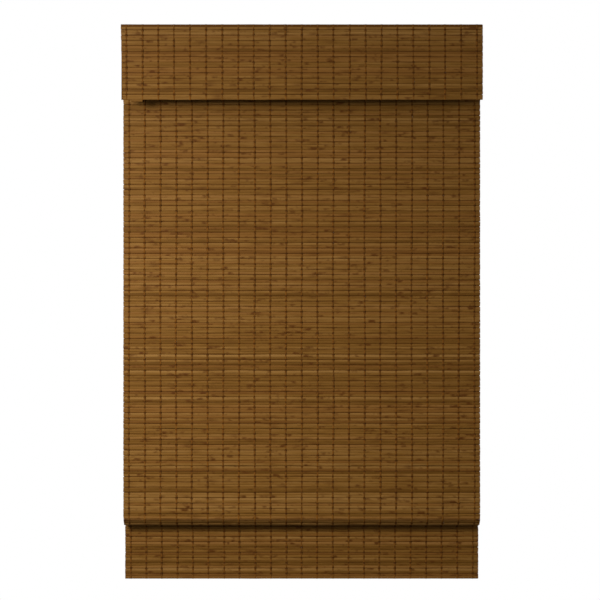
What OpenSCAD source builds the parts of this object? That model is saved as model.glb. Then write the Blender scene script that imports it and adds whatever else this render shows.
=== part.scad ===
// Bamboo roman shade. A mat of flat bamboo slats hangs from the back of a wooden headrail, and a
// valance of the same mat hangs from its front. The threads bind the slats in pairs. The lift folds
// the mat forward between its rows of rings, the lowest pleat first, and the foot of the mat turns
// round a bottom rail and ends in a free tail.
// Origin at the centre of the headrail's top face, +Z up, the room side faces -Y.

/* [Mat] */
// Width of the shade and of its valance
shade_w = 914; // [760:1:1200]
// Height of one slat
slat_h = 6.4; // [5:0.1:8]
// Gap between two pairs of slats
pair_gap = 0.6; // [0.4:0.05:1]
// Gap between the two slats of a pair
slat_gap = 0.2; // [0.1:0.05:0.4]
// Thickness of a slat
slat_t = 1.6; // [1.2:0.1:2.2]
// Thickness of the binding between two pairs
pair_web = 0.5; // [0.3:0.05:0.8]
// Thickness of the binding inside a pair
slat_web = 1; // [0.6:0.05:1.1]

/* [Warp threads] */
// Distance between two thread lines
thread_pitch = 40.2; // [30:0.1:60]
// Least distance from the outer thread lines to the ends of the slats
thread_margin = 12; // [6:0.5:20]
// Width of a thread line
thread_w = 3.4; // [2:0.1:5]
// Height that a thread line stands above the slats
thread_t = 0.5; // [0.3:0.05:0.6]
// Distance from the end of a thread line to the fold line beside it
thread_end = 1.2; // [1:0.1:1.8]

/* [Headrail] */
// Depth of the board, from the valance side to the panel side
rail_d = 40; // [36:0.5:60]
// Height of the board
rail_h = 19; // [16:0.5:30]
// Distance from each end of the board to the ends of the slats
rail_inset = 3; // [0:0.5:10]
// Bevel along the board's long edges
rail_bevel = 1.2; // [0.5:0.1:3]
// Diameter of the two mounting screw holes
mount_hole_d = 4.5; // [3:0.1:6]
// Diameter of the recess for a mounting screw's head
mount_head_d = 9.5; // [8:0.1:14]
// Depth of the recess for a mounting screw's head
mount_head_depth = 5; // [2:0.5:10]
// Distance from a mounting screw hole to the board's end
mount_inset = 54; // [20:1:90]

/* [Valance] */
// Number of slat pairs in the valance
valance_pairs = 14; // [10:1:18]
// Thickness of the hook and loop tape that holds the valance
tape_t = 2.4; // [1.5:0.1:4]
// Height of the tape
tape_h = 15; // [10:0.5:16]
// Distance from each end of the tape to the ends of the slats
tape_inset = 8; // [4:1:40]

/* [Panel and lowest pleat] */
// Distance from the headrail's top face down to the panel's upper edge
panel_drop = 5; // [1:0.1:8]
// Number of slat pairs in each half of a pleat
half_pairs = 7; // [5:1:9]
// Number of staples that hold the panel to the headrail
staple_count = 11; // [6:1:20]
// Length of a staple's crown
staple_w = 10; // [6:0.5:14]
// Thickness of the staple wire
staple_wire = 0.9; // [0.6:0.1:1.2]
// Depth that a staple's legs reach into the headrail
staple_depth = 7; // [4:0.5:12]

/* [Rings] */
// Outer diameter of a lift ring
ring_d = 12; // [10:0.5:16]
// Thickness of the ring wire
ring_wire = 2; // [1.5:0.1:3]
// Length of the foot that is sewn to the slat
ring_foot = 1; // [0.6:0.1:2]
// Width of the foot
ring_foot_w = 4; // [3:0.5:6]
// Distance from the outer ring columns to the ends of the slats
ring_inset = 127; // [100:1:200]

/* [Bottom fold] */
// Number of slats that run up behind the panel to the tuck
rise_slats = 6; // [5:1:12]
// Number of slats by which the front run is longer than the run behind it
front_extra = 0; // [0:1:6]
// Number of slats in the sloping lip
lip_slats = 3; // [2:1:4]
// Slope of the lip, from the vertical
lip_angle = 36; // [30:1:45]
// Number of slats in the tail
tail_slats = 28; // [22:1:36]
// Height of the bottom rail
bar_h = 34; // [30:1:44]
// Clearance between the bottom rail and the mat round it
bar_clear = 0.5; // [0.3:0.05:0.8]
// Distance from each end of the bottom rail to the ends of the slats
bar_inset = 4; // [1:0.5:20]
// Bevel on the bottom rail's upper edges
bar_bevel = 2; // [0.5:0.1:4]

/* [Spring lift unit] */
// Length of the case
unit_w = 150; // [110:1:180]
// Depth of the case
unit_d = 30; // [24:0.5:34]
// Height of the case
unit_h = 22; // [18:0.5:34]
// Corner radius of the case
unit_r = 7; // [4:0.5:10]
// Thickness of the case's cover
cover_t = 2.4; // [1.5:0.1:4]
// Width of the rim by which the cover stands out
cover_rim = 0.8; // [0.4:0.1:2]
// Diameter of the cord outlets
outlet_d = 4; // [3:0.1:6]
// Depth of the cord outlets
outlet_depth = 8; // [4:0.5:12]
// Length of each screw ear
ear_w = 16; // [12:0.5:22]
// Thickness of the screw ears
ear_t = 3; // [2:0.1:5]
// Diameter of the unit's screws
screw_d = 3.5; // [3:0.1:4]
// Diameter of their heads
screw_head_d = 7; // [5.5:0.1:9]
// Height of their heads
screw_head_h = 2.2; // [1.5:0.1:3]
// Depth that screws and eye shanks reach into the board
screw_depth = 11; // [8:0.5:14]
// Clearance round screws and eye shanks
screw_clear = 0.1; // [0.05:0.05:0.2]

/* [Cord guides] */
// Outer diameter of a screw eye
eye_d = 13; // [10:0.5:18]
// Thickness of the screw eye's wire
eye_wire = 2.4; // [2:0.1:3]

/* [Hidden] */
$fn = 48;
ring_rows = 6;
columns = 3;
bamboo = [0.44, 0.30, 0.14];
thread_brown = [0.27, 0.16, 0.05];
pine = [0.78, 0.64, 0.44];
steel = [0.72, 0.73, 0.74];
nylon = [0.86, 0.85, 0.80];
// Room left at both ends of a bore so that it cuts clean through
cut = 1;

pair_pitch = 2 * slat_h + slat_gap + pair_gap;
rail_len = shade_w - 2 * rail_inset;
mount_x = rail_len / 2 - mount_inset;
column_x = shade_w / 2 - ring_inset;
panel_y = rail_d / 2 + slat_t / 2;
panel_back = panel_y + slat_t / 2;
valance_y = -rail_d / 2 - tape_t - slat_t / 2;
// Each ring row sits one pair and two pleat halves below the last, and the panel ends at the fifth
ring_step = 2 * half_pairs + 1;
panel_pairs = (ring_rows - 1) * ring_step;
half_h = half_pairs * pair_pitch;
fold_z = -panel_drop - panel_pairs * pair_pitch;
front_fold_z = fold_z - half_h;
hem_z = front_fold_z - half_h;

thread_count = floor((shade_w - 2 * thread_margin) / thread_pitch) + 1;
thread_xs = [for (i = [0 : thread_count - 1]) (i - (thread_count - 1) / 2) * thread_pitch];
column_xs = [for (i = [0 : columns - 1]) column_x * (2 * i / (columns - 1) - 1)];
// Turns of the bottom fold: down, sloping lip, floor, up, tuck and down again
hem_slats = rise_slats + front_extra;
floor_index = hem_slats + lip_slats;
rise_index = floor_index + 2;
tail_index = rise_index + rise_slats + 1;
hem_angles = concat(
    turn_run(hem_slats, 0),
    turn_run(lip_slats, lip_angle),
    [90, 180 - lip_angle],
    turn_run(rise_slats, 180),
    [90],
    turn_run(tail_slats, 0)
);
hem_path = mat_path(hem_angles, [panel_y, hem_z]);

function ring_name(row) = str("ring_row_", row);
// Height of the slat that carries a ring row
function ring_z(row) = -panel_drop - (row * ring_step - 1) * pair_pitch - pair_gap / 2 - slat_h / 2;

// A mat is a chain of slats. Its angles say how each slat leans: 0 hangs, 90 points to the wall.
function turn_run(count, angle) = [for (i = [1 : count]) angle];
function along(angle) = [sin(angle), -cos(angle)];
function outward(angle) = [-cos(angle), -sin(angle)];
function starts_pair(i) = i % 2 == 0;
// Half of the gap before slat i, wide enough at a turn for the slats' edges to pass each other
function turn_before(angles, i) = i == 0 || i == len(angles) ? 0 : angles[i] - angles[i - 1];
function gap_before(angles, i) = max(
    (starts_pair(i) || i == len(angles) ? pair_gap : slat_gap) / 2,
    turn_before(angles, i) == 0 ? 0 : slat_t / 2 * tan(abs(turn_before(angles, i)) / 2) + pair_gap / 4
);
function gap_after(angles, i) = gap_before(angles, i + 1);
function slat_run(angles, i) = gap_before(angles, i) + slat_h + gap_after(angles, i);
function mat_path(angles, start, i = 0) = i == len(angles)
    ? [start]
    : concat([start], mat_path(angles, start + slat_run(angles, i) * along(angles[i]), i + 1));
// One side of the mat's section: a flat crest on each slat and a groove between two slats
function mat_side(angles, path, side) = [
    for (i = [0 : len(angles) - 1])
        each concat(
            slat_crest(angles, path, side, i),
            i + 1 < len(angles) ? [mat_groove(angles, path, side, i + 1)] : []
        )
];
function slat_crest(angles, path, side, i) = [
    for (reach = [0, slat_h])
        path[i] + (gap_before(angles, i) + reach) * along(angles[i])
            + side * slat_t / 2 * outward(angles[i])
];
function mat_groove(angles, path, side, i) =
    let (turn = turn_before(angles, i))
    let (web = starts_pair(i) || turn != 0 ? pair_web : slat_web)
    path[i] + side * web / 2 / cos(turn / 2) * outward(angles[i] - turn / 2);
function reversed(list) = [for (i = [len(list) - 1 : -1 : 0]) list[i]];
function mat_section(angles, path) =
    concat(mat_side(angles, path, 1), reversed(mat_side(angles, path, -1)));

// Extrudes a section drawn in Y and Z along the width of the shade
module across(length) {
    rotate([90, 0, 90]) linear_extrude(length, center = true) children();
}

module mat(angles, start) {
    color(bamboo) across(shade_w) polygon(mat_section(angles, mat_path(angles, start)));
}

module hanging_mat(pairs, y, top_z) {
    mat(turn_run(2 * pairs, 0), [y, top_z]);
}

// Thread lines on the room side of a straight run of slats
module thread_lines(start, angle, length) {
    color(thread_brown)
        for (x = thread_xs)
            translate([x, start[0], start[1]])
                rotate([angle, 0, 0])
                    translate([-thread_w / 2, -slat_t / 2 - thread_t, thread_end - length])
                        cube([thread_w, thread_t, length - 2 * thread_end]);
}

// Rectangle with bevelled corners
module bevelled_rectangle(width, height, bevel) {
    inner_w = width / 2 - bevel;
    inner_h = height / 2 - bevel;
    polygon([
        [-inner_w, -height / 2], [inner_w, -height / 2],
        [width / 2, -inner_h], [width / 2, inner_h],
        [inner_w, height / 2], [-inner_w, height / 2],
        [-width / 2, inner_h], [-width / 2, -inner_h]
    ]);
}

module rounded_block(width, depth, height, radius) {
    translate([-width / 2, radius - depth / 2, 0]) cube([width, depth - 2 * radius, height]);
    translate([radius - width / 2, -depth / 2, 0]) cube([width - 2 * radius, depth, height]);
    for (x = [-1, 1], y = [-1, 1])
        translate([x * (width / 2 - radius), y * (depth / 2 - radius), 0])
            cylinder(r = radius, h = height);
}

module headrail() {
    color(pine)
        difference() {
            translate([0, 0, -rail_h / 2])
                across(rail_len) bevelled_rectangle(rail_d, rail_h, rail_bevel);
            for (x = [-mount_x, mount_x])
                translate([x, 0, -rail_h]) mounting_hole();
            for (x = ear_xs)
                translate([x, 0, -rail_h]) pilot_hole(screw_d);
            for (x = [-column_x, column_x])
                translate([x, 0, -rail_h]) pilot_hole(eye_wire);
        }
}

module mounting_hole() {
    translate([0, 0, -cut]) cylinder(d = mount_hole_d, h = rail_h + 2 * cut);
    translate([0, 0, -cut]) cylinder(d = mount_head_d, h = mount_head_depth + cut);
}

module pilot_hole(diameter) {
    translate([0, 0, -cut])
        cylinder(d = diameter + 2 * screw_clear, h = screw_depth + screw_clear + cut);
}

module valance() {
    hanging_mat(valance_pairs, valance_y, 0);
}

module valance_threads() {
    thread_lines([valance_y, 0], 0, valance_pairs * pair_pitch);
}

module valance_tape() {
    color(nylon)
        translate([0, -rail_d / 2 - tape_t / 2, -rail_h / 2])
            across(shade_w - 2 * tape_inset) square([tape_t, tape_h], center = true);
}

module panel() {
    hanging_mat(panel_pairs, panel_y, -panel_drop);
}

// The panel's thread lines start below the board, where its slats come free
module panel_threads() {
    thread_lines([panel_y, -rail_h], 0, -rail_h - fold_z);
}

module panel_staples() {
    step = (rail_len - 2 * mount_inset) / (staple_count - 1);
    for (i = [0 : staple_count - 1])
        translate([i * step + mount_inset - rail_len / 2, panel_back, -rail_h / 2])
            staple();
}

module staple() {
    leg = slat_t + staple_depth + staple_wire;
    color(steel) {
        translate([-staple_w / 2, 0, -staple_wire / 2])
            cube([staple_w, staple_wire, staple_wire]);
        for (x = [-staple_w / 2, staple_w / 2 - staple_wire])
            translate([x, staple_wire - leg, -staple_wire / 2])
                cube([staple_wire, leg, staple_wire]);
    }
}

// Sealed spring unit under the board, with cord outlets at both ends and one below
ear_xs = [for (side = [-1, 1]) side * (unit_w + ear_w) / 2];

module lift_unit_case() {
    color(nylon)
        translate([0, 0, -rail_h - unit_h])
            difference() {
                union() {
                    rounded_block(unit_w, unit_d, unit_h, unit_r);
                    translate([0, 0, unit_h - ear_t])
                        rounded_block(unit_w + 2 * ear_w, unit_d - 2 * unit_r, ear_t, unit_r / 2);
                }
                for (x = ear_xs)
                    translate([x, 0, -cut]) cylinder(d = screw_d + 2 * screw_clear, h = unit_h + 2 * cut);
                for (side = [-1, 1])
                    translate([side * unit_w / 2, 0, unit_h / 2]) rotate([0, side * 90, 0])
                        translate([0, 0, -outlet_depth]) cylinder(d = outlet_d, h = outlet_depth + cut);
                translate([0, 0, -cut]) cylinder(d = outlet_d, h = outlet_depth + cut);
            }
}

module lift_unit_cover() {
    color(nylon)
        translate([0, 0, -rail_h - unit_h - cover_t])
            difference() {
                rounded_block(unit_w + 2 * cover_rim, unit_d + 2 * cover_rim, cover_t, unit_r + cover_rim);
                translate([0, 0, -cut]) cylinder(d = outlet_d, h = cover_t + 2 * cut);
            }
}

module lift_unit_screws() {
    color(steel)
        for (x = ear_xs)
            translate([x, 0, -rail_h - ear_t]) {
                translate([0, 0, -screw_head_h]) cylinder(d = screw_head_d, h = screw_head_h);
                cylinder(d = screw_d, h = ear_t + screw_depth);
            }
}

module cord_guides() {
    color(steel)
        for (x = [-column_x, column_x])
            translate([x, 0, -rail_h]) {
                translate([0, 0, -eye_d / 2]) rotate([0, 90, 0]) wire_ring(eye_d, eye_wire);
                translate([0, 0, -eye_wire / 2]) cylinder(d = eye_wire, h = screw_depth + eye_wire / 2);
            }
}

module wire_ring(diameter, wire) {
    rotate_extrude() translate([diameter / 2 - wire / 2, 0]) circle(d = wire);
}

// Each ring lies flat, so that a cord can run straight down through its row
module ring_row(row) {
    color(nylon)
        for (x = column_xs)
            translate([x, panel_back, ring_z(row)]) lift_ring();
}

module lift_ring() {
    translate([0, ring_foot + ring_d / 2, 0]) wire_ring(ring_d, ring_wire);
    translate([-ring_foot_w / 2, 0, -ring_wire / 2])
        cube([ring_foot_w, ring_foot + ring_wire / 2, ring_wire]);
}

// The two halves of the lowest pleat, which meet in its front fold
module pleat_upper() {
    hanging_mat(half_pairs, panel_y, fold_z);
}

module pleat_upper_threads() {
    thread_lines([panel_y, fold_z], 0, half_h);
}

module pleat_lower() {
    hanging_mat(half_pairs, panel_y, front_fold_z);
}

module pleat_lower_threads() {
    thread_lines([panel_y, front_fold_z], 0, half_h);
}

module bottom_fold() {
    mat(hem_angles, hem_path[0]);
}

// Thread lines on the runs of the bottom fold that show: front, lip and tail
module bottom_fold_threads() {
    thread_lines(hem_path[0], 0, norm(hem_path[hem_slats] - hem_path[0]));
    thread_lines(hem_path[hem_slats], lip_angle, norm(hem_path[floor_index] - hem_path[hem_slats]));
    thread_lines(hem_path[tail_index], 0, norm(hem_path[tail_index + tail_slats] - hem_path[tail_index]));
}

// The bottom rail fills the trough of the fold: it rests on the floor slat, between both slopes
module bottom_rail() {
    reach = slat_t / 2 + bar_clear;
    floor_z = hem_path[floor_index][1] + slat_t / 2;
    front_y = panel_back + bar_clear;
    back_y = hem_path[rise_index][0] - reach;
    front_slope = hem_path[floor_index] - reach * outward(lip_angle);
    back_slope = hem_path[floor_index + 1] - reach * outward(180 - lip_angle);
    top_z = floor_z + bar_h;
    color(pine)
        across(shade_w - 2 * bar_inset)
            polygon([
                [front_slope[0] - (floor_z - front_slope[1]) * tan(lip_angle), floor_z],
                [back_slope[0] + (floor_z - back_slope[1]) * tan(lip_angle), floor_z],
                [back_y, back_slope[1] + (back_y - back_slope[0]) / tan(lip_angle)],
                [back_y, top_z - bar_bevel],
                [back_y - bar_bevel, top_z],
                [front_y + bar_bevel, top_z],
                [front_y, top_z - bar_bevel],
                [front_y, front_slope[1] + (front_slope[0] - front_y) / tan(lip_angle)]
            ]);
}

headrail();
valance();
valance_threads();
valance_tape();
panel_staples();
lift_unit_case();
lift_unit_cover();
lift_unit_screws();
cord_guides();
panel();
panel_threads();
pleat_upper();
pleat_upper_threads();
pleat_lower();
pleat_lower_threads();
for (row = [1 : ring_rows])
    ring_row(row);
bottom_fold();
bottom_fold_threads();
bottom_rail();
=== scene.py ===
"""Bamboo roman shade: slat mats, warp threads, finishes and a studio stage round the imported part."""

import math
import random

import bmesh
import bpy
import numpy as np
from bpy.props import FloatProperty, FloatVectorProperty, IntProperty, PointerProperty
from mathutils import Matrix


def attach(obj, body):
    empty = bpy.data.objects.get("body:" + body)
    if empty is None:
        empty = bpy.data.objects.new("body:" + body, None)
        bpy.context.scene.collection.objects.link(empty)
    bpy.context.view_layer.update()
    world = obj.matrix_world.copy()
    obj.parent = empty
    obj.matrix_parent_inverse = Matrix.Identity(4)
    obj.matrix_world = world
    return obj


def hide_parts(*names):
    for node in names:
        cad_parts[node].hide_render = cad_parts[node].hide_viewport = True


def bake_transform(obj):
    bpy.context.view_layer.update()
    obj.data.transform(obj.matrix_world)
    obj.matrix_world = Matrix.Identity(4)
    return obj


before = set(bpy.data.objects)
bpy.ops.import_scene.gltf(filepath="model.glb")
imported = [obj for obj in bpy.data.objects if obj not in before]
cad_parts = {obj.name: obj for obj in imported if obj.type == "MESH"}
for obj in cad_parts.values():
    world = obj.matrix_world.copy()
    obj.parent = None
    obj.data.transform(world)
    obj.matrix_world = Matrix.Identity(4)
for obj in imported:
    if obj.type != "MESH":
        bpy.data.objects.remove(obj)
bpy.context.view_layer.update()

bl_info = {
    "name": "Bamboo Roman Shade",
    "version": (1, 0, 0),
    "blender": (4, 5, 0),
    "location": "3D View > Sidebar > Shade",
    "description": "Slat mats, warp threads and finishes for a bamboo roman shade",
    "category": "Add Mesh",
}

# Point attributes that take the tones of a slat and the dives of a thread to the finishes
SLAT_ATTRIBUTE = "slat"
DIVE_ATTRIBUTE = "dive"

# Slats of a pair, and of each straight mat
PAIR = 2
VALANCE_SLATS, PANEL_SLATS, PLEAT_SLATS = 28, 150, 14
# Leans of a slat in degrees: it hangs, lies level towards the wall, or points up
HANGING, LEVEL, RISING = 0, 90, 180
# Slats of the bottom fold from the pleat to its free end, each with its lean
FRONT_RUN, LIP, RISE, TAIL = 6, 3, 6, 28
LIP_LEAN = 36
FOLD_LEANS = (
    [HANGING] * FRONT_RUN
    + [LIP_LEAN] * LIP
    + [LEVEL, RISING - LIP_LEAN]
    + [RISING] * RISE
    + [LEVEL]
    + [HANGING] * TAIL
)
TAIL_START = len(FOLD_LEANS) - TAIL
# Points in Y and Z, in metres like all lengths here, from which the valance and the panel hang
VALANCE_AT = (-0.0232, 0.0)
PANEL_AT = (0.0208, -0.005)
# Slats at the top with no thread on them: behind the valance, at its tape, and in front of the panel
VALANCE_BARE_BACK = 4
PANEL_BARE_FRONT = PAIR
# Fold lines of the lowest pleat from the top down, and the bodies above and below each
FOLDS = (
    ("pleat_lift", "headrail_body", "pleat_upper_body"),
    ("front_fold", "pleat_upper_body", "pleat_lower_body"),
    ("back_fold", "pleat_lower_body", "bottom_body"),
)

# Mesh of a slat: cuts along it, steps of its rounded edges, and the angle up to which it looks smooth
SLAT_CUTS = 44
EDGE_STEPS = 2
SMOOTH_ANGLE = math.radians(50)
# An edge that is longer than this in X runs along a slat
LENGTHWISE = 1e-4
# A point lies on a slat's corner from this share of its height and thickness on
CORNER_SHARE = 0.49

# Chance trim of a slat's two ends
END_TRIM = 0.0006
# Knots of a slat: the first one from the left end, the next ones, and how strong and how long each is
FIRST_KNOT = (0.02, 0.26)
KNOT_SPACING = (0.2, 0.34)
KNOT_STRENGTH = (0.5, 1)
KNOT_REACH = 0.006
# How much thicker and higher a slat is at a knot
KNOT_SWELL = 0.22
KNOT_WIDTH = 0.01
# Height of a slat as a share of the usual one, and how it tapers along waves in radians per metre
HEIGHT_RANGE = (0.99, 1.04)
TAPER = 0.018
TAPER_WAVE = (10, 45)
# Slow waves of a slat in radians per metre, shares of the waviness, and how much quicker it waves outwards
SLOW_WAVE = (10, 32)
WAVE_SHARES = (1.0, 0.5)
OUTWARD_WAVE = 1.3
# How far the rounded edges of the two slats of a pair press into each other
PAIR_OVERLAP = 0.0002

# Stain of the upper and the lower slat of a pair, from 0 for dark to 1 for light; the upper one is lighter as
# painted light from above, the lower one darker as painted shade
PAIR_STAIN_AND_SHADING = (0.53, 0.43)
# How much the stain varies at the top, and how much that grows with the square of the drop
TONE_SPREAD = 0.19
SPREAD_GAIN = 0.35
# Painted shade along the slat edges next to the gap between two pairs, and the darkening of the valance's
# dark first slat
EDGE_SHADE = (0.5, 1)
BORDER_DARKENING = 1.0

# A split end that hangs from the valance's last slat: middle in X, length, drop and stain
SPLIT_X, SPLIT_LENGTH, SPLIT_DROP = -0.416, 0.028, 0.0052
SPLIT_TONE = 0.25
# How far the valance's left edge leans in at its foot
LEFT_LEAN = 0.0045

# Threads in front of a mat and behind it, each with the roundness of its section
THREAD_SIDES = ((1, 1), (-1, 0))
# Height of a thread's middle above the slats, as a share of its thickness
THREAD_LIFT = 0.12
# Where a thread leaves a slat to dive, as a share of the slat's height from its middle
DIVE_START = 0.42
# How far from a dive a thread is wide and darkened with painted shade, and how much wider it is there
DIVE_REACH = 0.0032
DIVE_SPREAD = 0.75
# How the thread lines wander sideways: seed, waves in radians per metre, and reach
WANDER_SEED = "warp"
WANDER_WAVE = (5, 11)
WANDER_REACH = (0.0003, 0.0011)
# Points of a short thread over a fold line
BRIDGE_STEPS = 13

# The binding ends a little inside the slats' ends
BINDING_INSET = 0.002
# A strip of binding over a fold line: its reach above and below, and its rows of faces
STRIP_REACH = 0.004
STRIP_ROWS = 16

# How fine the noise of each finish is in X, Y and Z, per metre
LONG_FIBRE, FINE_FIBRE = (7, 260, 260), (30, 1500, 1500)
STAIN_CLOUDS, EDGE_SHADE_PATCHES, STAIN_SPOTS = (16, 60, 60), (28, 70, 70), (30, 1, 40)
BINDING_GRAIN, THREAD_FADE = (40, 300, 300), (20, 20, 30)
PINE_RING, PINE_FIBRE = (3, 90, 90), (30, 900, 900)
NYLON_MOTTLE, NYLON_SKIN = (120, 120, 120), (1800, 1800, 1800)
STEEL_MARKS, TAPE_LOOPS, FLOOR_MOTTLE = (400, 400, 2600), (1400, 1400, 1400), (2, 2, 2)
# Distance in the noise over which the spots of all slats are strewn
SPOT_RANGE = 300.0
# Shares of a slat's tone, its long fibres and its clouds in the stain, and what is taken off their sum
SLAT_SHARE, FIBRE_SHARE, CLOUD_SHARE, TONE_OFFSET = 0.62, 0.8, 0.3, 0.33
# A slat is reddish from this chance value on, by this share, and a knot is this dark
RED_FROM, RED_SHARE = 0.72, 0.32
KNOT_STAIN = 0.6
# Twist of a thread: lean, fineness and unevenness of its strands, and how much painted shade, in the dark
# stain colour, darkens a dive
TWIST_LEAN = math.radians(38)
TWIST_SCALE, TWIST_WOBBLE = 190.0, 1.5
DIVE_SHADE = 0.55
BLACK, WHITE = (0, 0, 0), (1, 1, 1)
# Sockets of a colour mix: factor and two colours in, and one colour out
MIX_INPUTS, MIX_OUTPUT = (0, 6, 7), 2

# Side of the floor, and its colour for all rays but the camera's
FLOOR_SIZE = 6
FLOOR_BOUNCE = (0.1, 0.1, 0.1)
# Heights on the world's ball between which the light of the ground turns into that of the sky
HORIZON = (0.05, 0.4)
# Each light's place, the point that it shines at, its side, and the angle in which it spreads
KEY_AT, KEY_AIM = (-1.3, -1.25, -0.08), (0.1, 0.0, -1.35)
KEY_SIZE, KEY_SPREAD = 0.5, math.radians(120)
BACK_AT, BACK_AIM = (0.9, 2.4, 0.3), (0.0, 0.0, -0.75)
BACK_SIZE, BACK_SPREAD = 1.0, math.pi
# Width of the camera's sensor in millimetres
SENSOR_WIDTH = 36


class ShadeMatSettings(bpy.types.PropertyGroup):
    """Sizes and colours of the slat mats and their threads"""

    width: FloatProperty(
        name="Width", description="Length of a slat", default=0.914, unit="LENGTH"
    )
    slat_height: FloatProperty(
        name="Slat height", description="Height of one slat", default=0.0064, unit="LENGTH"
    )
    slat_thickness: FloatProperty(
        name="Slat thickness", description="Thickness of one slat", default=0.0016, unit="LENGTH"
    )
    pair_gap: FloatProperty(
        name="Pair gap", description="Gap between two pairs of slats", default=0.0006, unit="LENGTH"
    )
    slat_gap: FloatProperty(
        name="Slat gap", description="Gap between the slats of a pair", default=0.0002, unit="LENGTH"
    )
    slat_round: FloatProperty(
        name="Slat edge", description="Rounding of a slat's long edges", default=0.0004, unit="LENGTH"
    )
    web_thickness: FloatProperty(
        name="Binding", description="Thickness of the binding behind the gaps", default=0.0005, unit="LENGTH"
    )
    waviness: FloatProperty(
        name="Waviness", description="How far a slat wanders from straight", default=0.00028, unit="LENGTH"
    )
    thread_pitch: FloatProperty(
        name="Thread pitch", description="Distance between thread lines", default=0.0402, unit="LENGTH"
    )
    thread_count: IntProperty(name="Threads", description="Number of thread lines", default=23)
    thread_width: FloatProperty(
        name="Thread width", description="Width of a thread line", default=0.0041, unit="LENGTH"
    )
    thread_depth: FloatProperty(
        name="Thread depth", description="Thickness of a thread line", default=0.0009, unit="LENGTH"
    )
    bamboo_dark: FloatVectorProperty(
        name="Dark bamboo", description="Darkest stain", default=(0.108, 0.044, 0.004), subtype="COLOR"
    )
    bamboo_mid: FloatVectorProperty(
        name="Bamboo", description="Usual stain", default=(0.178, 0.080, 0.0125), subtype="COLOR"
    )
    bamboo_light: FloatVectorProperty(
        name="Light bamboo", description="Lightest streaks", default=(0.262, 0.132, 0.033), subtype="COLOR"
    )
    bamboo_red: FloatVectorProperty(
        name="Red bamboo", description="Reddish slats", default=(0.190, 0.072, 0.014), subtype="COLOR"
    )
    # Dark stain for the spots and knots, also used for the painted shade at pair edges, at thread dives and
    # in the binding
    dark_stain_and_shade: FloatVectorProperty(
        name="Pooled stain",
        description="Stain along slat edges and in spots",
        default=(0.074, 0.022, 0.0012),
        subtype="COLOR",
    )
    thread_colour: FloatVectorProperty(
        name="Thread", description="Colour of the threads", default=(0.176, 0.066, 0.0065), subtype="COLOR"
    )


class ShadeHardwareSettings(bpy.types.PropertyGroup):
    """Colours of the rails and the fittings"""

    pine: FloatVectorProperty(
        name="Pine", description="Colour of the rails", default=(0.56, 0.37, 0.17), subtype="COLOR"
    )
    nylon: FloatVectorProperty(
        name="Nylon", description="Colour of rings and lift unit", default=(0.70, 0.68, 0.60), subtype="COLOR"
    )
    steel: FloatVectorProperty(
        name="Steel", description="Colour of screws and staples", default=(0.48, 0.49, 0.50), subtype="COLOR"
    )
    tape: FloatVectorProperty(
        name="Tape", description="Colour of the valance tape", default=(0.07, 0.045, 0.025), subtype="COLOR"
    )


class ShadeStageSettings(bpy.types.PropertyGroup):
    """Camera and light of the studio stage"""

    camera_distance: FloatProperty(
        name="Distance", description="Camera to panel", default=3.0, unit="LENGTH"
    )
    camera_side: FloatProperty(
        name="Side", description="Camera left or right of the middle", default=-0.0045, unit="LENGTH"
    )
    camera_height: FloatProperty(
        name="Height", description="Camera above the headrail's top", default=-0.6953, unit="LENGTH"
    )
    lens: FloatProperty(name="Lens", description="Focal length in millimetres", default=70.3)
    key_power: FloatProperty(
        name="Key light", description="Power of the light at the upper left", default=20.0, unit="POWER"
    )
    back_power: FloatProperty(
        name="Back light", description="Power of the light behind the shade", default=45.0, unit="POWER"
    )
    sky_strength: FloatProperty(name="Sky", description="Even light from above", default=0.7)
    ground_strength: FloatProperty(name="Ground", description="Even light from below", default=0.18)
    floor_height: FloatProperty(
        name="Floor", description="Floor below the headrail's top", default=-2.3, unit="LENGTH"
    )


# Layout of a mat: a chain of slats, each with its lean


def turn_before(leans, i):
    """Turn between the slats on both sides of joint i, in degrees"""
    return 0 if i in (0, len(leans)) else leans[i] - leans[i - 1]


def half_gap(leans, i, mat):
    """Half of the gap at joint i, wider where the mat turns"""
    between_pairs = i % PAIR == 0 or i == len(leans)
    gap = (mat.pair_gap if between_pairs else mat.slat_gap) / 2
    turn = abs(turn_before(leans, i))
    if turn:
        gap = max(gap, mat.slat_thickness / 2 * math.tan(math.radians(turn / 2)) + mat.pair_gap / 4)
    return gap


def along(lean):
    """Direction in Y and Z from a slat's first edge to its last"""
    angle = math.radians(lean)
    return np.array([math.sin(angle), -math.cos(angle)])


def outward(lean):
    """Direction in Y and Z from a slat's back to its face"""
    angle = math.radians(lean)
    return np.array([-math.cos(angle), -math.sin(angle)])


def slat_chain(leans, start, mat):
    """Joint points in Y and Z, and the centre of each slat"""
    joints, centres = [np.array(start)], []
    for i, lean in enumerate(leans):
        before, after = half_gap(leans, i, mat), half_gap(leans, i + 1, mat)
        centres.append(joints[-1] + (before + mat.slat_height / 2) * along(lean))
        joints.append(joints[-1] + (before + mat.slat_height + after) * along(lean))
    return joints, centres


def hung_below(start, slats, mat):
    """Point in Y and Z under a straight mat with this many slats"""
    pair_pitch = PAIR * mat.slat_height + mat.slat_gap + mat.pair_gap
    return start[0], start[1] - slats / PAIR * pair_pitch


def fold_lines(mat):
    """Points in Y and Z of the lowest pleat's fold lines: its top, its middle and its foot"""
    top = hung_below(PANEL_AT, PANEL_SLATS, mat)
    middle = hung_below(top, PLEAT_SLATS, mat)
    return top, middle, hung_below(middle, PLEAT_SLATS, mat)


# Modelling


def deselect_all():
    if bpy.context.object and bpy.context.object.mode != "OBJECT":
        bpy.ops.object.mode_set(mode="OBJECT")
    bpy.ops.object.select_all(action="DESELECT")


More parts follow.
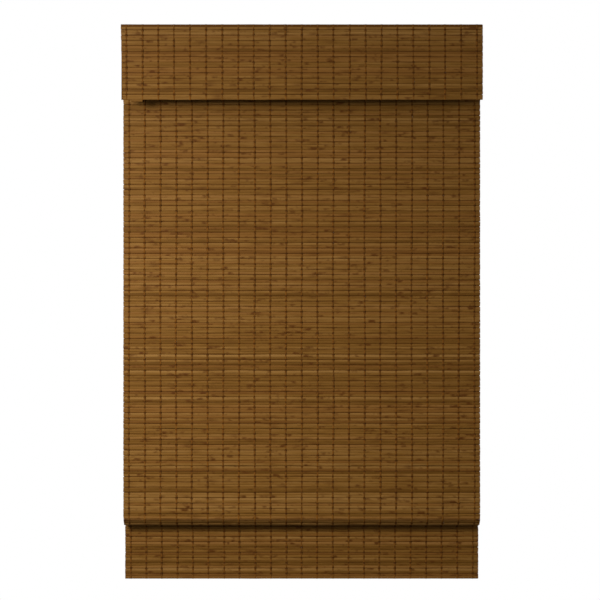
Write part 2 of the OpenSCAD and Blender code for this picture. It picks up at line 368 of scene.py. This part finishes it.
def pick_edges(obj, wanted):
    """Selects, in edit mode, the edges whose two ends pass the test"""
    bpy.context.tool_settings.mesh_select_mode = (False, True, False)
    bpy.ops.mesh.select_all(action="DESELECT")
    mesh = bmesh.from_edit_mesh(obj.data)
    for edge in mesh.edges:
        edge.select_set(wanted(edge.verts[0].co, edge.verts[1].co))
    mesh.select_flush_mode()
    bmesh.update_edit_mesh(obj.data)


def model_slat(mat):
    """One straight slat with rounded long edges, centred on the origin"""

    def on_corner(point):
        high = abs(point.z) > CORNER_SHARE * mat.slat_height
        return high and abs(point.y) > CORNER_SHARE * mat.slat_thickness

    deselect_all()
    bpy.ops.mesh.primitive_cube_add(size=1)
    slat = bpy.context.object
    bpy.ops.object.mode_set(mode="EDIT")
    bpy.ops.mesh.select_all(action="SELECT")
    bpy.ops.transform.resize(value=(mat.width, mat.slat_thickness, mat.slat_height))
    pick_edges(slat, lambda a, b: abs(a.x - b.x) > mat.width / 2)
    bpy.ops.mesh.subdivide(number_cuts=SLAT_CUTS)
    pick_edges(slat, lambda a, b: abs(a.x - b.x) > LENGTHWISE and on_corner(a) and on_corner(b))
    bpy.ops.mesh.bevel(offset=mat.slat_round, segments=EDGE_STEPS, affect="EDGES")
    bpy.ops.object.mode_set(mode="OBJECT")
    return slat


def coordinates(mesh):
    flat = np.empty(len(mesh.vertices) * 3, np.float32)
    mesh.vertices.foreach_get("co", flat)
    return flat.reshape(-1, 3).astype(float)


def move_points(mesh, points):
    mesh.vertices.foreach_set("co", points.astype(np.float32).ravel())


def uneven_slat(points, mat, rng, partner, left_in):
    """X, Y and Z of a slat with trimmed ends, knots, a taper and slow waves, pushed towards its partner.
    Knots and waves go outwards only, so that nothing stands out behind the mat where it folds.
    Also how much each point belongs to a knot, and how near it is to the gap between two pairs"""
    x, y, z = points.T.copy()
    half = mat.width / 2
    left, right = left_in + rng.uniform(0, END_TRIM), rng.uniform(0, END_TRIM)
    x += np.clip(-x / half, 0, 1) * left - np.clip(x / half, 0, 1) * right
    knots = np.zeros(len(x))
    at = -half + rng.uniform(*FIRST_KNOT)
    while at < half:
        knots = np.maximum(knots, rng.uniform(*KNOT_STRENGTH) * np.exp(-(((x - at) / KNOT_REACH) ** 2)))
        at += rng.uniform(*KNOT_SPACING)
    y = np.where(y < 0, y * (1 + KNOT_SWELL * knots), y)
    taper = np.sin(rng.uniform(*TAPER_WAVE) * x + rng.uniform(0, math.tau))
    to_gap = np.clip(0.5 - partner * z / mat.slat_height, 0, 1)
    height = rng.uniform(*HEIGHT_RANGE) + TAPER * taper + KNOT_WIDTH * knots
    z = z * height + partner * ((1 - height) * mat.slat_height + mat.slat_gap + PAIR_OVERLAP) / 2
    for share in WAVE_SHARES:
        wave, phase = rng.uniform(*SLOW_WAVE) / share, rng.uniform(0, math.tau)
        z += share * mat.waviness * np.sin(wave * x + phase)
        y -= share * mat.waviness * (1 + np.sin(wave * x * OUTWARD_WAVE + 2 * phase)) / 2
    return (x, y, z), knots, to_gap


def lay_slat(pattern, points, centre, lean, mat, rng, tone, partner=0, left_in=0.0):
    """A copy of the slat in its place, with its tones as an attribute: stain with the pair's painted light
    and shade, chance value, knots, and painted shade at the edge next to the gap between two pairs.
    Its partner is 1 above it, -1 below it or 0 for none. A tone of 0 makes a dark border slat"""
    mesh = pattern.data.copy()
    (x, y, z), knots, to_gap = uneven_slat(points, mat, rng, partner, left_in)
    down, out = along(lean), outward(lean)
    placed_y = centre[0] - z * down[0] - y * out[0]
    placed_z = centre[1] - z * down[1] - y * out[1]
    move_points(mesh, np.column_stack((x, placed_y, placed_z)))
    spread = TONE_SPREAD * (1 + SPREAD_GAIN * centre[1] ** 2) if tone else 0
    tones = np.ones((len(x), 4), np.float32)
    tones[:, 0] = min(max(rng.gauss(tone, spread), 0), 1)
    tones[:, 1] = rng.random()
    tones[:, 2] = knots if tone else BORDER_DARKENING
    tones[:, 3] = to_gap * rng.uniform(*EDGE_SHADE)
    kept_tones = mesh.attributes.new(SLAT_ATTRIBUTE, "FLOAT_COLOR", "POINT")
    kept_tones.data.foreach_set("color", tones.ravel())
    slat = bpy.data.objects.new("slat", mesh)
    bpy.context.collection.objects.link(slat)
    return slat


def thicken(sheet, thickness):
    """Turns a sheet into a wall, half of it on each side"""
    bpy.ops.object.modifier_add(type="SOLIDIFY")
    wall = sheet.modifiers[-1]
    wall.thickness, wall.offset = thickness, 0
    bpy.ops.object.modifier_apply(modifier=wall.name)


def model_binding(leans, joints, mat):
    """Thin dark binding along the middle of the mat, which closes the gaps between its slats; it stands for
    the thread layer, and its dark colour is painted shade in the gaps
    """
    stops = [0] + [i for i in range(1, len(leans)) if turn_before(leans, i)] + [len(leans)]
    deselect_all()
    bpy.ops.mesh.primitive_plane_add(size=1)
    sheet = bpy.context.object
    bpy.ops.object.mode_set(mode="EDIT")
    bpy.context.tool_settings.mesh_select_mode = (True, False, False)
    bpy.ops.mesh.select_all(action="DESELECT")
    mesh = bmesh.from_edit_mesh(sheet.data)
    for vert in mesh.verts:
        vert.select_set(vert.co.y > 0)
    bmesh.update_edit_mesh(sheet.data)
    bpy.ops.mesh.delete(type="VERT")
    mesh = bmesh.from_edit_mesh(sheet.data)
    for vert in mesh.verts:
        vert.co = (math.copysign(mat.width / 2 - BINDING_INSET, vert.co.x), *joints[0])
        vert.select_set(True)
    mesh.select_flush(True)
    bmesh.update_edit_mesh(sheet.data)
    bpy.context.tool_settings.mesh_select_mode = (False, True, False)
    for a, b in zip(stops, stops[1:]):
        step = joints[b] - joints[a]
        bpy.ops.mesh.extrude_region_move(TRANSFORM_OT_translate={"value": (0, step[0], step[1])})
    bpy.ops.object.mode_set(mode="OBJECT")
    thicken(sheet, mat.web_thickness)
    sheet.data.materials.append(binding_and_gap_shade_material(mat))
    return sheet


def model_fold_strip(name, fold, mat):
    """A flat strip of binding across a fold line of the mat, with its ends between the slats"""
    deselect_all()
    bpy.ops.mesh.primitive_grid_add(x_subdivisions=1, y_subdivisions=STRIP_ROWS, size=1)
    strip = bpy.context.object
    bpy.ops.object.mode_set(mode="EDIT")
    bpy.ops.mesh.select_all(action="SELECT")
    bpy.ops.transform.resize(value=(mat.width - 2 * BINDING_INSET, 2 * STRIP_REACH, 1))
    bpy.ops.transform.rotate(value=math.pi / 2, orient_axis="X")
    bpy.ops.transform.translate(value=(0, *fold))
    bpy.ops.object.mode_set(mode="OBJECT")
    thicken(strip, mat.web_thickness)
    strip.data.materials.append(binding_and_gap_shade_material(mat))
    strip.name = strip.data.name = name
    return strip


def join_pieces(pieces, name):
    deselect_all()
    for piece in pieces:
        piece.select_set(True)
    bpy.context.view_layer.objects.active = pieces[0]
    bpy.ops.object.join()
    joined = bpy.context.object
    joined.name = joined.data.name = name
    return joined


def model_mat(name, leans, start, mat, valance=False):
    """A mat of slats on its binding.
    The valance has a dark first slat, a split end and a left edge that leans in"""
    rng = random.Random(name)
    joints, centres = slat_chain(leans, start, mat)
    pattern = model_slat(mat)
    points = coordinates(pattern.data)
    pattern.data.materials.append(bamboo_material(mat))
    slats = [
        lay_slat(
            pattern, points, centre, lean, mat, rng,
            tone=0 if valance and i == 0 else PAIR_STAIN_AND_SHADING[i % PAIR],
            partner=1 if i % PAIR else -1,
            left_in=LEFT_LEAN * i / len(leans) if valance else 0,
        )
        for i, (centre, lean) in enumerate(zip(centres, leans))
    ]
    if valance:
        short = points * (SPLIT_LENGTH / mat.width, 1, 1)
        split = lay_slat(pattern, short, centres[-1] - (0, SPLIT_DROP), HANGING, mat, rng, SPLIT_TONE)
        split.data.transform(Matrix.Translation((SPLIT_X, 0, 0)))
        slats.append(split)
    binding = model_binding(leans, joints, mat)
    bpy.data.objects.remove(pattern)
    piece = join_pieces(slats + [binding], name)
    bpy.ops.object.shade_smooth_by_angle(angle=SMOOTH_ANGLE)
    return piece


def thread_height(side, mat):
    """Height of a thread above the middle of the mat, on its front for 1 or its back for -1"""
    return side * (mat.slat_thickness / 2 + mat.thread_depth * THREAD_LIFT)


def thread_route(leans, joints, centres, mat, side, first):
    """Points in Y and Z of a thread that lies on the slats and dives between two pairs, and its dives"""
    height = thread_height(side, mat)
    reach = DIVE_START * mat.slat_height
    route, dives = [joints[first]], [joints[first]]
    for i in range(first, len(leans)):
        middle = centres[i] + height * outward(leans[i])
        turns, pair_starts = turn_before(leans, i) != 0, i % PAIR == 0
        turns_next, pair_ends = turn_before(leans, i + 1) != 0, (i + 1) % PAIR == 0
        if pair_starts and not turns and i > first:
            route.append(joints[i])
            dives.append(joints[i])
        if pair_starts or turns:
            route.append(middle - reach * along(leans[i]))
        route.append(middle)
        if pair_ends or turns_next:
            route.append(middle + reach * along(leans[i]))
    route.append(joints[-1])
    return route, dives


def model_thread(route, dives, mat, roundness):
    """All thread lines that follow one route, side by side across the mat, wide where they dive and darkened
    there with painted shade
    """
    deselect_all()
    line = bpy.data.curves.new("thread", "CURVE")
    line.dimensions = "3D"
    spline = line.splines.new("POLY")
    spline.points.add(len(route) - 1)
    for point, (y, z) in zip(spline.points, route):
        point.co = (0, y, z, 1)
    line.bevel_depth = mat.thread_depth / 2
    line.bevel_resolution = roundness
    line.use_fill_caps = True
    thread = bpy.data.objects.new("thread", line)
    bpy.context.collection.objects.link(thread)
    thread.select_set(True)
    bpy.context.view_layer.objects.active = thread
    bpy.ops.object.convert(target="MESH")
    thread = bpy.context.object
    first_x = -mat.thread_pitch * (mat.thread_count - 1) / 2
    points = coordinates(thread.data)
    away = np.linalg.norm(points[:, None, 1:] - np.array(dives)[None], axis=2).min(axis=1)
    dive = np.exp(-((away / DIVE_REACH) ** 2))
    points[:, 0] = points[:, 0] * (1 + DIVE_SPREAD * dive) * mat.thread_width / mat.thread_depth + first_x
    kept_dive = thread.data.attributes.new(DIVE_ATTRIBUTE, "FLOAT", "POINT")
    kept_dive.data.foreach_set("value", dive.astype(np.float32))
    move_points(thread.data, points)
    bpy.ops.object.modifier_add(type="ARRAY")
    row = thread.modifiers[-1]
    row.use_relative_offset, row.use_constant_offset = False, True
    row.constant_offset_displace = (mat.thread_pitch, 0, 0)
    row.count = mat.thread_count
    bpy.ops.object.modifier_apply(modifier=row.name)
    return thread


def finish_threads(lines, name, mat):
    """One piece of all thread lines. Each wanders a little to the side, in the same way on every mat"""
    piece = join_pieces(lines, name)
    rng = random.Random(WANDER_SEED)
    points = coordinates(piece.data)
    index = np.rint(points[:, 0] / mat.thread_pitch + (mat.thread_count - 1) / 2).astype(int)
    for i in range(mat.thread_count):
        own = index == i
        phase, wave, reach = rng.uniform(0, math.tau), rng.uniform(*WANDER_WAVE), rng.uniform(*WANDER_REACH)
        points[own, 0] += reach * np.sin(wave * points[own, 2] + phase)
    move_points(piece.data, points)
    piece.data.materials.clear()
    piece.data.materials.append(thread_material(mat))
    bpy.ops.object.shade_smooth()
    return piece


def model_warp(name, leans, start, mat, front_from=0, back_from=0):
    """Front and back threads of a mat, each from its first slat on"""
    joints, centres = slat_chain(leans, start, mat)
    lines = []
    for (side, roundness), first in zip(THREAD_SIDES, (front_from, back_from)):
        route, dives = thread_route(leans, joints, centres, mat, side, first)
        lines.append(model_thread(route, dives, mat, roundness))
    return finish_threads(lines, name, mat)


def model_bridge(name, fold, mat):
    """Short threads that cross a fold line of the mat, and bend there"""
    y, z = fold
    reach = mat.pair_gap / 2 + mat.slat_height * (0.5 - DIVE_START)
    lines = []
    for side, roundness in THREAD_SIDES:
        height = thread_height(side, mat)
        route = [(y - height * abs(t), z - reach * t) for t in np.linspace(-1, 1, BRIDGE_STEPS)]
        lines.append(model_thread(route, [fold], mat, roundness))
    return finish_threads(lines, name, mat)


def dress(piece, body, node):
    """Lets a piece ride on a body in place of a node of the part"""
    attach(piece, body)
    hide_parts(node)


# Finishes


def new_material(name):
    """A new material, its node tree and its Principled shader"""
    material = bpy.data.materials.new(name)
    material.use_nodes = True
    return material, material.node_tree, material.node_tree.nodes["Principled BSDF"]


def set_inputs(node, values):
    for name, value in values.items():
        node.inputs[name].default_value = value


def add(tree, kind, inputs=None, **settings):
    """A node with values for its inputs, by their names, and with its settings"""
    node = tree.nodes.new(kind)
    for key, value in settings.items():
        setattr(node, key, value)
    set_inputs(node, inputs or {})
    return node


def grey(level):
    return (level, level, level)


def scaled(colour, factor):
    return tuple(factor * c for c in colour)


def streaks(tree, scale, detail=4.0, roughness=0.6, own=None):
    """Noise on object coordinates, drawn out by the scale in X, Y and Z, and different for each own value"""
    place = add(tree, "ShaderNodeTexCoord")
    mapping = add(tree, "ShaderNodeMapping", {"Scale": scale})
    noise = add(tree, "ShaderNodeTexNoise", {"Scale": 1.0, "Detail": detail, "Roughness": roughness})
    tree.links.new(place.outputs["Object"], mapping.inputs["Vector"])
    vector = mapping.outputs["Vector"]
    if own is not None:
        far = add(tree, "ShaderNodeCombineXYZ")
        tree.links.new(maths(tree, "MULTIPLY", own, SPOT_RANGE), far.inputs["Y"])
        moved = add(tree, "ShaderNodeVectorMath", operation="ADD")
        tree.links.new(vector, moved.inputs[0])
        tree.links.new(far.outputs["Vector"], moved.inputs[1])
        vector = moved.outputs["Vector"]
    tree.links.new(vector, noise.inputs["Vector"])
    return noise.outputs["Fac"]


def ramp(tree, value, stops):
    """Colours that follow a value, from stops of a place and a colour"""
    node = add(tree, "ShaderNodeValToRGB")
    elements = node.color_ramp.elements
    while len(elements) < len(stops):
        elements.new(0.5)
    for element, (place, colour) in zip(elements, stops):
        element.position = place
        element.color = (*colour, 1)
    tree.links.new(value, node.inputs["Fac"])
    return node.outputs["Color"]


def maths(tree, operation, a, b):
    node = add(tree, "ShaderNodeMath", operation=operation)
    for socket, value in zip(node.inputs, (a, b)):
        if isinstance(value, (int, float)):
            socket.default_value = value
        else:
            tree.links.new(value, socket)
    return node.outputs["Value"]


def mix(tree, factor, a, b, blend="MIX"):
    """Mix of two colours, each of them a value or a socket"""
    node = add(tree, "ShaderNodeMix", data_type="RGBA", blend_type=blend)
    for place, value in zip(MIX_INPUTS, (factor, a, b)):
        socket = node.inputs[place]
        if isinstance(value, (int, float)):
            socket.default_value = value
        elif isinstance(value, (tuple, list)):
            socket.default_value = (*value, 1)
        else:
            tree.links.new(value, socket)
    return node.outputs[MIX_OUTPUT]


def bump(tree, shader, height, distance, strength=0.6):
    node = add(tree, "ShaderNodeBump", {"Distance": distance, "Strength": strength})
    tree.links.new(height, node.inputs["Height"])
    tree.links.new(node.outputs["Normal"], shader.inputs["Normal"])


def paint(tree, shader, colour):
    tree.links.new(colour, shader.inputs["Base Color"])


def two_tones(tree, noise, colour, dark, low=0.3, high=0.7):
    """The colour where the noise is high, and a darker one where it is low"""
    return ramp(tree, noise, [(low, scaled(colour, dark)), (high, colour)])


def uneven_gloss(tree, shader, noise, low, high):
    """Roughness that follows the noise between two values"""
    gloss = add(tree, "ShaderNodeMapRange", {"To Min": low, "To Max": high})
    tree.links.new(noise, gloss.inputs["Value"])
    tree.links.new(gloss.outputs["Result"], shader.inputs["Roughness"])


def bamboo_material(mat):
    """Stained bamboo: each slat has its own tone, with painted light on the upper slat of a pair and painted
    shade on the lower one, long fibres, painted shade along the edges next to the gaps between pairs, stain
    spots and darker knots
    """
    if "stained_bamboo" in bpy.data.materials:
        return bpy.data.materials["stained_bamboo"]
    material, tree, shader = new_material("stained_bamboo")
    dark, mid, light = tuple(mat.bamboo_dark), tuple(mat.bamboo_mid), tuple(mat.bamboo_light)
    red, stain_and_shade = tuple(mat.bamboo_red), tuple(mat.dark_stain_and_shade)
    slat = add(tree, "ShaderNodeAttribute", attribute_name=SLAT_ATTRIBUTE)
    parts = add(tree, "ShaderNodeSeparateColor")
    tree.links.new(slat.outputs["Color"], parts.inputs["Color"])
    # The stain channel also carries the painted light and shade of the two slats of a pair
    stain, chance, knots = (parts.outputs[name] for name in ("Red", "Green", "Blue"))
    long_fibre = streaks(tree, LONG_FIBRE, 3.0)
    fine_fibre = streaks(tree, FINE_FIBRE, 3.0)
    cloud = streaks(tree, STAIN_CLOUDS, 2.0)
    tone = maths(tree, "MULTIPLY", stain, SLAT_SHARE)
    tone = maths(tree, "ADD", tone, maths(tree, "MULTIPLY", long_fibre, FIBRE_SHARE))
    tone = maths(tree, "ADD", tone, maths(tree, "MULTIPLY", cloud, CLOUD_SHARE))
    tone = maths(tree, "SUBTRACT", tone, TONE_OFFSET)
    colour = ramp(tree, tone, [(0.18, dark), (0.52, mid), (0.92, light)])
    reddish = maths(tree, "MULTIPLY", maths(tree, "GREATER_THAN", chance, RED_FROM), RED_SHARE)
    colour = mix(tree, reddish, colour, red)
    fibres = ramp(tree, fine_fibre, [(0.3, (0.80, 0.78, 0.74)), (0.7, WHITE)])
    colour = mix(tree, 1.0, colour, fibres, "MULTIPLY")
    # Painted shade, in patches, along the slat edges next to the gap between two pairs
    edge = ramp(tree, slat.outputs["Alpha"], [(0.5, BLACK), (0.95, WHITE)])
    patchy_edge_shade = ramp(tree, streaks(tree, EDGE_SHADE_PATCHES, 3.0), [(0.40, BLACK), (0.65, grey(0.6))])
    colour = mix(tree, maths(tree, "MULTIPLY", edge, patchy_edge_shade), colour, stain_and_shade)
    spots = ramp(tree, streaks(tree, STAIN_SPOTS, 2.0, own=chance), [(0.59, BLACK), (0.72, grey(0.9))])
    colour = mix(tree, spots, colour, stain_and_shade)
    colour = mix(tree, maths(tree, "MULTIPLY", knots, KNOT_STAIN), colour, stain_and_shade)
    paint(tree, shader, colour)
    uneven_gloss(tree, shader, fine_fibre, 0.5, 0.72)
    set_inputs(shader, {"Specular IOR Level": 0.08})
    bump(tree, shader, fine_fibre, 0.00025)
    return material


def binding_and_gap_shade_material(mat):
    """Dark, dull binding that shows only in the gaps, as painted shade there"""
    if "binding_gap_shade" in bpy.data.materials:
        return bpy.data.materials["binding_gap_shade"]
    material, tree, shader = new_material("binding_gap_shade")
    paint(tree, shader, two_tones(tree, streaks(tree, BINDING_GRAIN), tuple(mat.dark_stain_and_shade), 0.6))
    set_inputs(shader, {"Roughness": 0.9, "Specular IOR Level": 0.1})
    return material


def thread_material(mat):
    """Twisted cotton thread, dull, with slanting strands, and painted shade where it dives between two pairs
    """
    if "warp_thread" in bpy.data.materials:
        return bpy.data.materials["warp_thread"]
    material, tree, shader = new_material("warp_thread")
    cotton = tuple(mat.thread_colour)
    place = add(tree, "ShaderNodeTexCoord")
    mapping = add(tree, "ShaderNodeMapping", {"Rotation": (0, TWIST_LEAN, 0)})
    twist = add(
        tree, "ShaderNodeTexWave", {"Scale": TWIST_SCALE, "Distortion": TWIST_WOBBLE}, bands_direction="X"
    )
    tree.links.new(place.outputs["Object"], mapping.inputs["Vector"])
    tree.links.new(mapping.outputs["Vector"], twist.inputs["Vector"])
    strand = ramp(tree, twist.outputs["Fac"], [(0.1, scaled(cotton, 0.6)), (0.8, scaled(cotton, 1.15))])
    wear = ramp(tree, streaks(tree, THREAD_FADE, 3.0), [(0.35, grey(0.8)), (0.7, (1.15, 1.12, 1.1))])
    strand = mix(tree, 1.0, strand, wear, "MULTIPLY")
    dive = add(tree, "ShaderNodeAttribute", attribute_name=DIVE_ATTRIBUTE)
    # Painted shade where the thread dives into the gap between two pairs
    paint(tree, shader, mix(tree, dive.outputs["Fac"], strand, scaled(mat.dark_stain_and_shade, DIVE_SHADE)))
    set_inputs(shader, {"Roughness": 0.85, "Specular IOR Level": 0.1})
    bump(tree, shader, twist.outputs["Fac"], 0.0003)
    return material


def pine_material(hardware):
    """Planed pine with long growth rings"""
    material, tree, shader = new_material("planed_pine")
    fine = streaks(tree, PINE_FIBRE, 3.0)
    rings = two_tones(tree, streaks(tree, PINE_RING, 5.0, 0.7), tuple(hardware.pine), 0.62, 0.35, 0.6)
    fibres = ramp(tree, fine, [(0.3, (0.86, 0.84, 0.8)), (0.7, WHITE)])
    paint(tree, shader, mix(tree, 1.0, rings, fibres, "MULTIPLY"))
    set_inputs(shader, {"Roughness": 0.62, "Specular IOR Level": 0.3})
    bump(tree, shader, fine, 0.0003)
    return material


def nylon_material(hardware):
    """Moulded nylon with a faint mottle"""
    material, tree, shader = new_material("moulded_nylon")
    paint(tree, shader, two_tones(tree, streaks(tree, NYLON_MOTTLE), tuple(hardware.nylon), 0.9))
    set_inputs(shader, {"Roughness": 0.42})
    bump(tree, shader, streaks(tree, NYLON_SKIN, 2.0), 0.0001, 0.3)
    return material


def steel_material(hardware):
    """Zinc plated steel with fine drawing marks"""
    material, tree, shader = new_material("zinc_steel")
    marks = streaks(tree, STEEL_MARKS, 3.0)
    paint(tree, shader, two_tones(tree, marks, tuple(hardware.steel), 0.8))
    set_inputs(shader, {"Metallic": 1.0})
    uneven_gloss(tree, shader, marks, 0.28, 0.45)
    return material


def tape_material(hardware):
    """Dark hook and loop tape, a felt of short loops"""
    material, tree, shader = new_material("loop_tape")
    loops = streaks(tree, TAPE_LOOPS, 2.0)
    paint(tree, shader, two_tones(tree, loops, tuple(hardware.tape), 0.5, 0.35, 0.65))
    set_inputs(shader, {"Roughness": 0.95, "Specular IOR Level": 0.1})
    bump(tree, shader, loops, 0.0006, 0.8)
    return material


def floor_material():
    """Dull studio floor, pale to the camera, with a faint mottle"""
    material, tree, shader = new_material("studio_floor")
    noise = streaks(tree, FLOOR_MOTTLE, 3.0)
    mottle = ramp(tree, noise, [(0.3, (0.80, 0.80, 0.79)), (0.7, (0.84, 0.84, 0.83))])
    rays = add(tree, "ShaderNodeLightPath")
    paint(tree, shader, mix(tree, rays.outputs["Is Camera Ray"], FLOOR_BOUNCE, mottle))
    set_inputs(shader, {"Roughness": 0.8})
    return material


# Operators, one for each group of pieces


class SHADE_OT_valance(bpy.types.Operator):
    """Weaves the valance that hangs in front of the headrail"""

    bl_idname = "shade.build_valance"
    bl_label = "Valance"

    def execute(self, context):
        mat = context.scene.shade_mat
        leans = [HANGING] * VALANCE_SLATS
        body = "headrail_body"
        dress(model_mat("valance_mat", leans, VALANCE_AT, mat, valance=True), body, "valance")
        warp = model_warp("valance_warp", leans, VALANCE_AT, mat, back_from=VALANCE_BARE_BACK)
        dress(warp, body, "valance_threads")
        return {"FINISHED"}


class SHADE_OT_panel(bpy.types.Operator):
    """Weaves the long panel on the back of the headrail"""

    bl_idname = "shade.build_panel"
    bl_label = "Panel"

    def execute(self, context):
        mat = context.scene.shade_mat
        leans = [HANGING] * PANEL_SLATS
        body = "headrail_body"
        dress(model_mat("panel_mat", leans, PANEL_AT, mat), body, "panel")
        warp = model_warp("panel_warp", leans, PANEL_AT, mat, front_from=PANEL_BARE_FRONT)
        dress(warp, body, "panel_threads")
        return {"FINISHED"}


class SHADE_OT_pleat(bpy.types.Operator):
    """Weaves the two halves of the lowest pleat, and the binding strips and short threads at its three fold
    lines
    """

    bl_idname = "shade.build_pleat"
    bl_label = "Lowest pleat"

    def execute(self, context):
        mat = context.scene.shade_mat
        leans = [HANGING] * PLEAT_SLATS
        lines = fold_lines(mat)
        for half, start in zip(("pleat_upper", "pleat_lower"), lines):
            body = half + "_body"
            dress(model_mat(half + "_mat", leans, start, mat), body, half)
            dress(model_warp(half + "_warp", leans, start, mat), body, half + "_threads")
        for (name, above, below), fold in zip(FOLDS, lines):
            strip = model_fold_strip(name + "_strip", fold, mat)
            bridge = model_bridge(name + "_bridge", fold, mat)
            for piece, slot in ((strip, "bamboo"), (bridge, "thread")):
                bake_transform(piece)
        return {"FINISHED"}


class SHADE_OT_bottom_fold(bpy.types.Operator):
    """Weaves the foot of the shade: front run, lip, run up behind, tuck and tail"""

    bl_idname = "shade.build_bottom_fold"
    bl_label = "Bottom fold"

    def execute(self, context):
        mat = context.scene.shade_mat
        start = fold_lines(mat)[-1]
        body = "bottom_body"
        dress(model_mat("bottom_fold_mat", FOLD_LEANS, start, mat), body, "bottom_fold")
        warp = model_warp("bottom_fold_warp", FOLD_LEANS, start, mat, back_from=TAIL_START)
        dress(warp, body, "bottom_fold_threads")
        return {"FINISHED"}


class SHADE_OT_hardware(bpy.types.Operator):
    """Finishes the rails, the lift unit, the rings and the fasteners"""

    bl_idname = "shade.finish_hardware"
    bl_label = "Rails and fittings"

    def execute(self, context):
        hardware = context.scene.shade_hardware
        pine, nylon = pine_material(hardware), nylon_material(hardware)
        steel, tape = steel_material(hardware), tape_material(hardware)
        finishes = {
            "headrail": pine,
            "bottom_rail": pine,
            "valance_tape": tape,
            "panel_staples": steel,
            "lift_unit_case": nylon,
            "lift_unit_cover": nylon,
            "lift_unit_screws": steel,
            "cord_guides": steel,
        }
        finishes.update({name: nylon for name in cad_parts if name.startswith("ring_row")})
        for name, material in finishes.items():
            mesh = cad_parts[name].data
            mesh.materials.clear()
            mesh.materials.append(material)
        return {"FINISHED"}


class SHADE_OT_stage(bpy.types.Operator):
    """Sets the floor, the lights, the white surroundings and the camera"""

    bl_idname = "shade.build_stage"
    bl_label = "Stage"

    def execute(self, context):
        stage = context.scene.shade_stage
        deselect_all()
        bpy.ops.mesh.primitive_plane_add(size=FLOOR_SIZE, location=(0, 0, stage.floor_height))
        floor = context.object
        floor.name = "floor"
        floor.data.materials.append(floor_material())
        self.light_world(context.scene, stage)
        self.add_light("key_light", KEY_AT, KEY_AIM, stage.key_power, KEY_SIZE, KEY_SPREAD)
        self.add_light("back_light", BACK_AT, BACK_AIM, stage.back_power, BACK_SIZE, BACK_SPREAD)
        self.add_camera(context.scene, stage)
        return {"FINISHED"}

    def light_world(self, scene, stage):
        """White for what the camera, a shiny or a clear surface sees, and soft light from above elsewhere"""
        world = bpy.data.worlds.new("studio_white")
        world.use_nodes = True
        tree = world.node_tree
        background = tree.nodes["Background"]
        set_inputs(background, {"Color": (*WHITE, 1)})
        rays = add(tree, "ShaderNodeLightPath")
        seen = maths(tree, "MAXIMUM", rays.outputs["Is Camera Ray"], rays.outputs["Is Glossy Ray"])
        seen = maths(tree, "MAXIMUM", seen, rays.outputs["Is Transmission Ray"])
        place = add(tree, "ShaderNodeTexCoord")
        height = add(tree, "ShaderNodeSeparateXYZ")
        tree.links.new(place.outputs["Generated"], height.inputs["Vector"])
        soft = add(tree, "ShaderNodeMapRange", {"From Min": HORIZON[0], "From Max": HORIZON[1]})
        set_inputs(soft, {"To Min": stage.ground_strength, "To Max": stage.sky_strength})
        tree.links.new(height.outputs["Z"], soft.inputs["Value"])
        strength = maths(tree, "MAXIMUM", soft.outputs["Result"], seen)
        tree.links.new(strength, background.inputs["Strength"])
        scene.world = world
        scene.view_settings.view_transform = "Standard"

    def add_light(self, name, place, aim, power, size, spread):
        """Soft square light that shines at a point and that the camera doesn't see"""
        bpy.ops.object.light_add(type="AREA", location=place)
        light = bpy.context.object
        light.name = name
        light.data.energy, light.data.size, light.data.spread = power, size, spread
        light.visible_camera = False
        way = np.array(aim) - np.array(place)
        level = math.hypot(way[0], way[1])
        light.rotation_euler = (math.pi / 2 + math.atan2(way[2], level), 0, math.atan2(-way[0], way[1]))

    def add_camera(self, scene, stage):
        """Camera that looks straight at the front of the shade"""
        bpy.ops.object.camera_add(
            location=(stage.camera_side, PANEL_AT[0] - stage.camera_distance, stage.camera_height),
            rotation=(math.pi / 2, 0, 0),
        )
        camera = bpy.context.object
        camera.data.lens = stage.lens
        camera.data.sensor_width = SENSOR_WIDTH
        scene.camera = camera


class SHADE_PT_sidebar(bpy.types.Panel):
    """Lists the steps that build the shade, and their settings"""

    bl_idname = "SHADE_PT_sidebar"
    bl_label = "Bamboo Roman Shade"
    bl_space_type = "VIEW_3D"
    bl_region_type = "UI"
    bl_category = "Shade"

    def draw(self, context):
        for step in STEPS:
            self.layout.operator(step.bl_idname)
        for group in SETTINGS:
            box = self.layout.box()
            settings = getattr(context.scene, group)
            for name in settings.__annotations__:
                box.prop(settings, name)


SETTINGS = {
    "shade_mat": ShadeMatSettings,
    "shade_hardware": ShadeHardwareSettings,
    "shade_stage": ShadeStageSettings,
}
STEPS = (
    SHADE_OT_stage,
    SHADE_OT_valance,
    SHADE_OT_panel,
    SHADE_OT_pleat,
    SHADE_OT_bottom_fold,
    SHADE_OT_hardware,
)


def register():
    for group in SETTINGS.values():
        bpy.utils.register_class(group)
    for step in STEPS + (SHADE_PT_sidebar,):
        bpy.utils.register_class(step)
    for name, group in SETTINGS.items():
        setattr(bpy.types.Scene, name, PointerProperty(type=group))


def unregister():
    for name in SETTINGS:
        delattr(bpy.types.Scene, name)
    for step in (SHADE_PT_sidebar,) + STEPS[::-1]:
        bpy.utils.unregister_class(step)
    for group in SETTINGS.values():
        bpy.utils.unregister_class(group)


def main():
    register()
    bpy.ops.shade.build_stage()
    bpy.ops.shade.build_valance()
    bpy.ops.shade.build_panel()
    bpy.ops.shade.build_pleat()
    bpy.ops.shade.build_bottom_fold()
    bpy.ops.shade.finish_hardware()


if __name__ == "__main__":
    main()
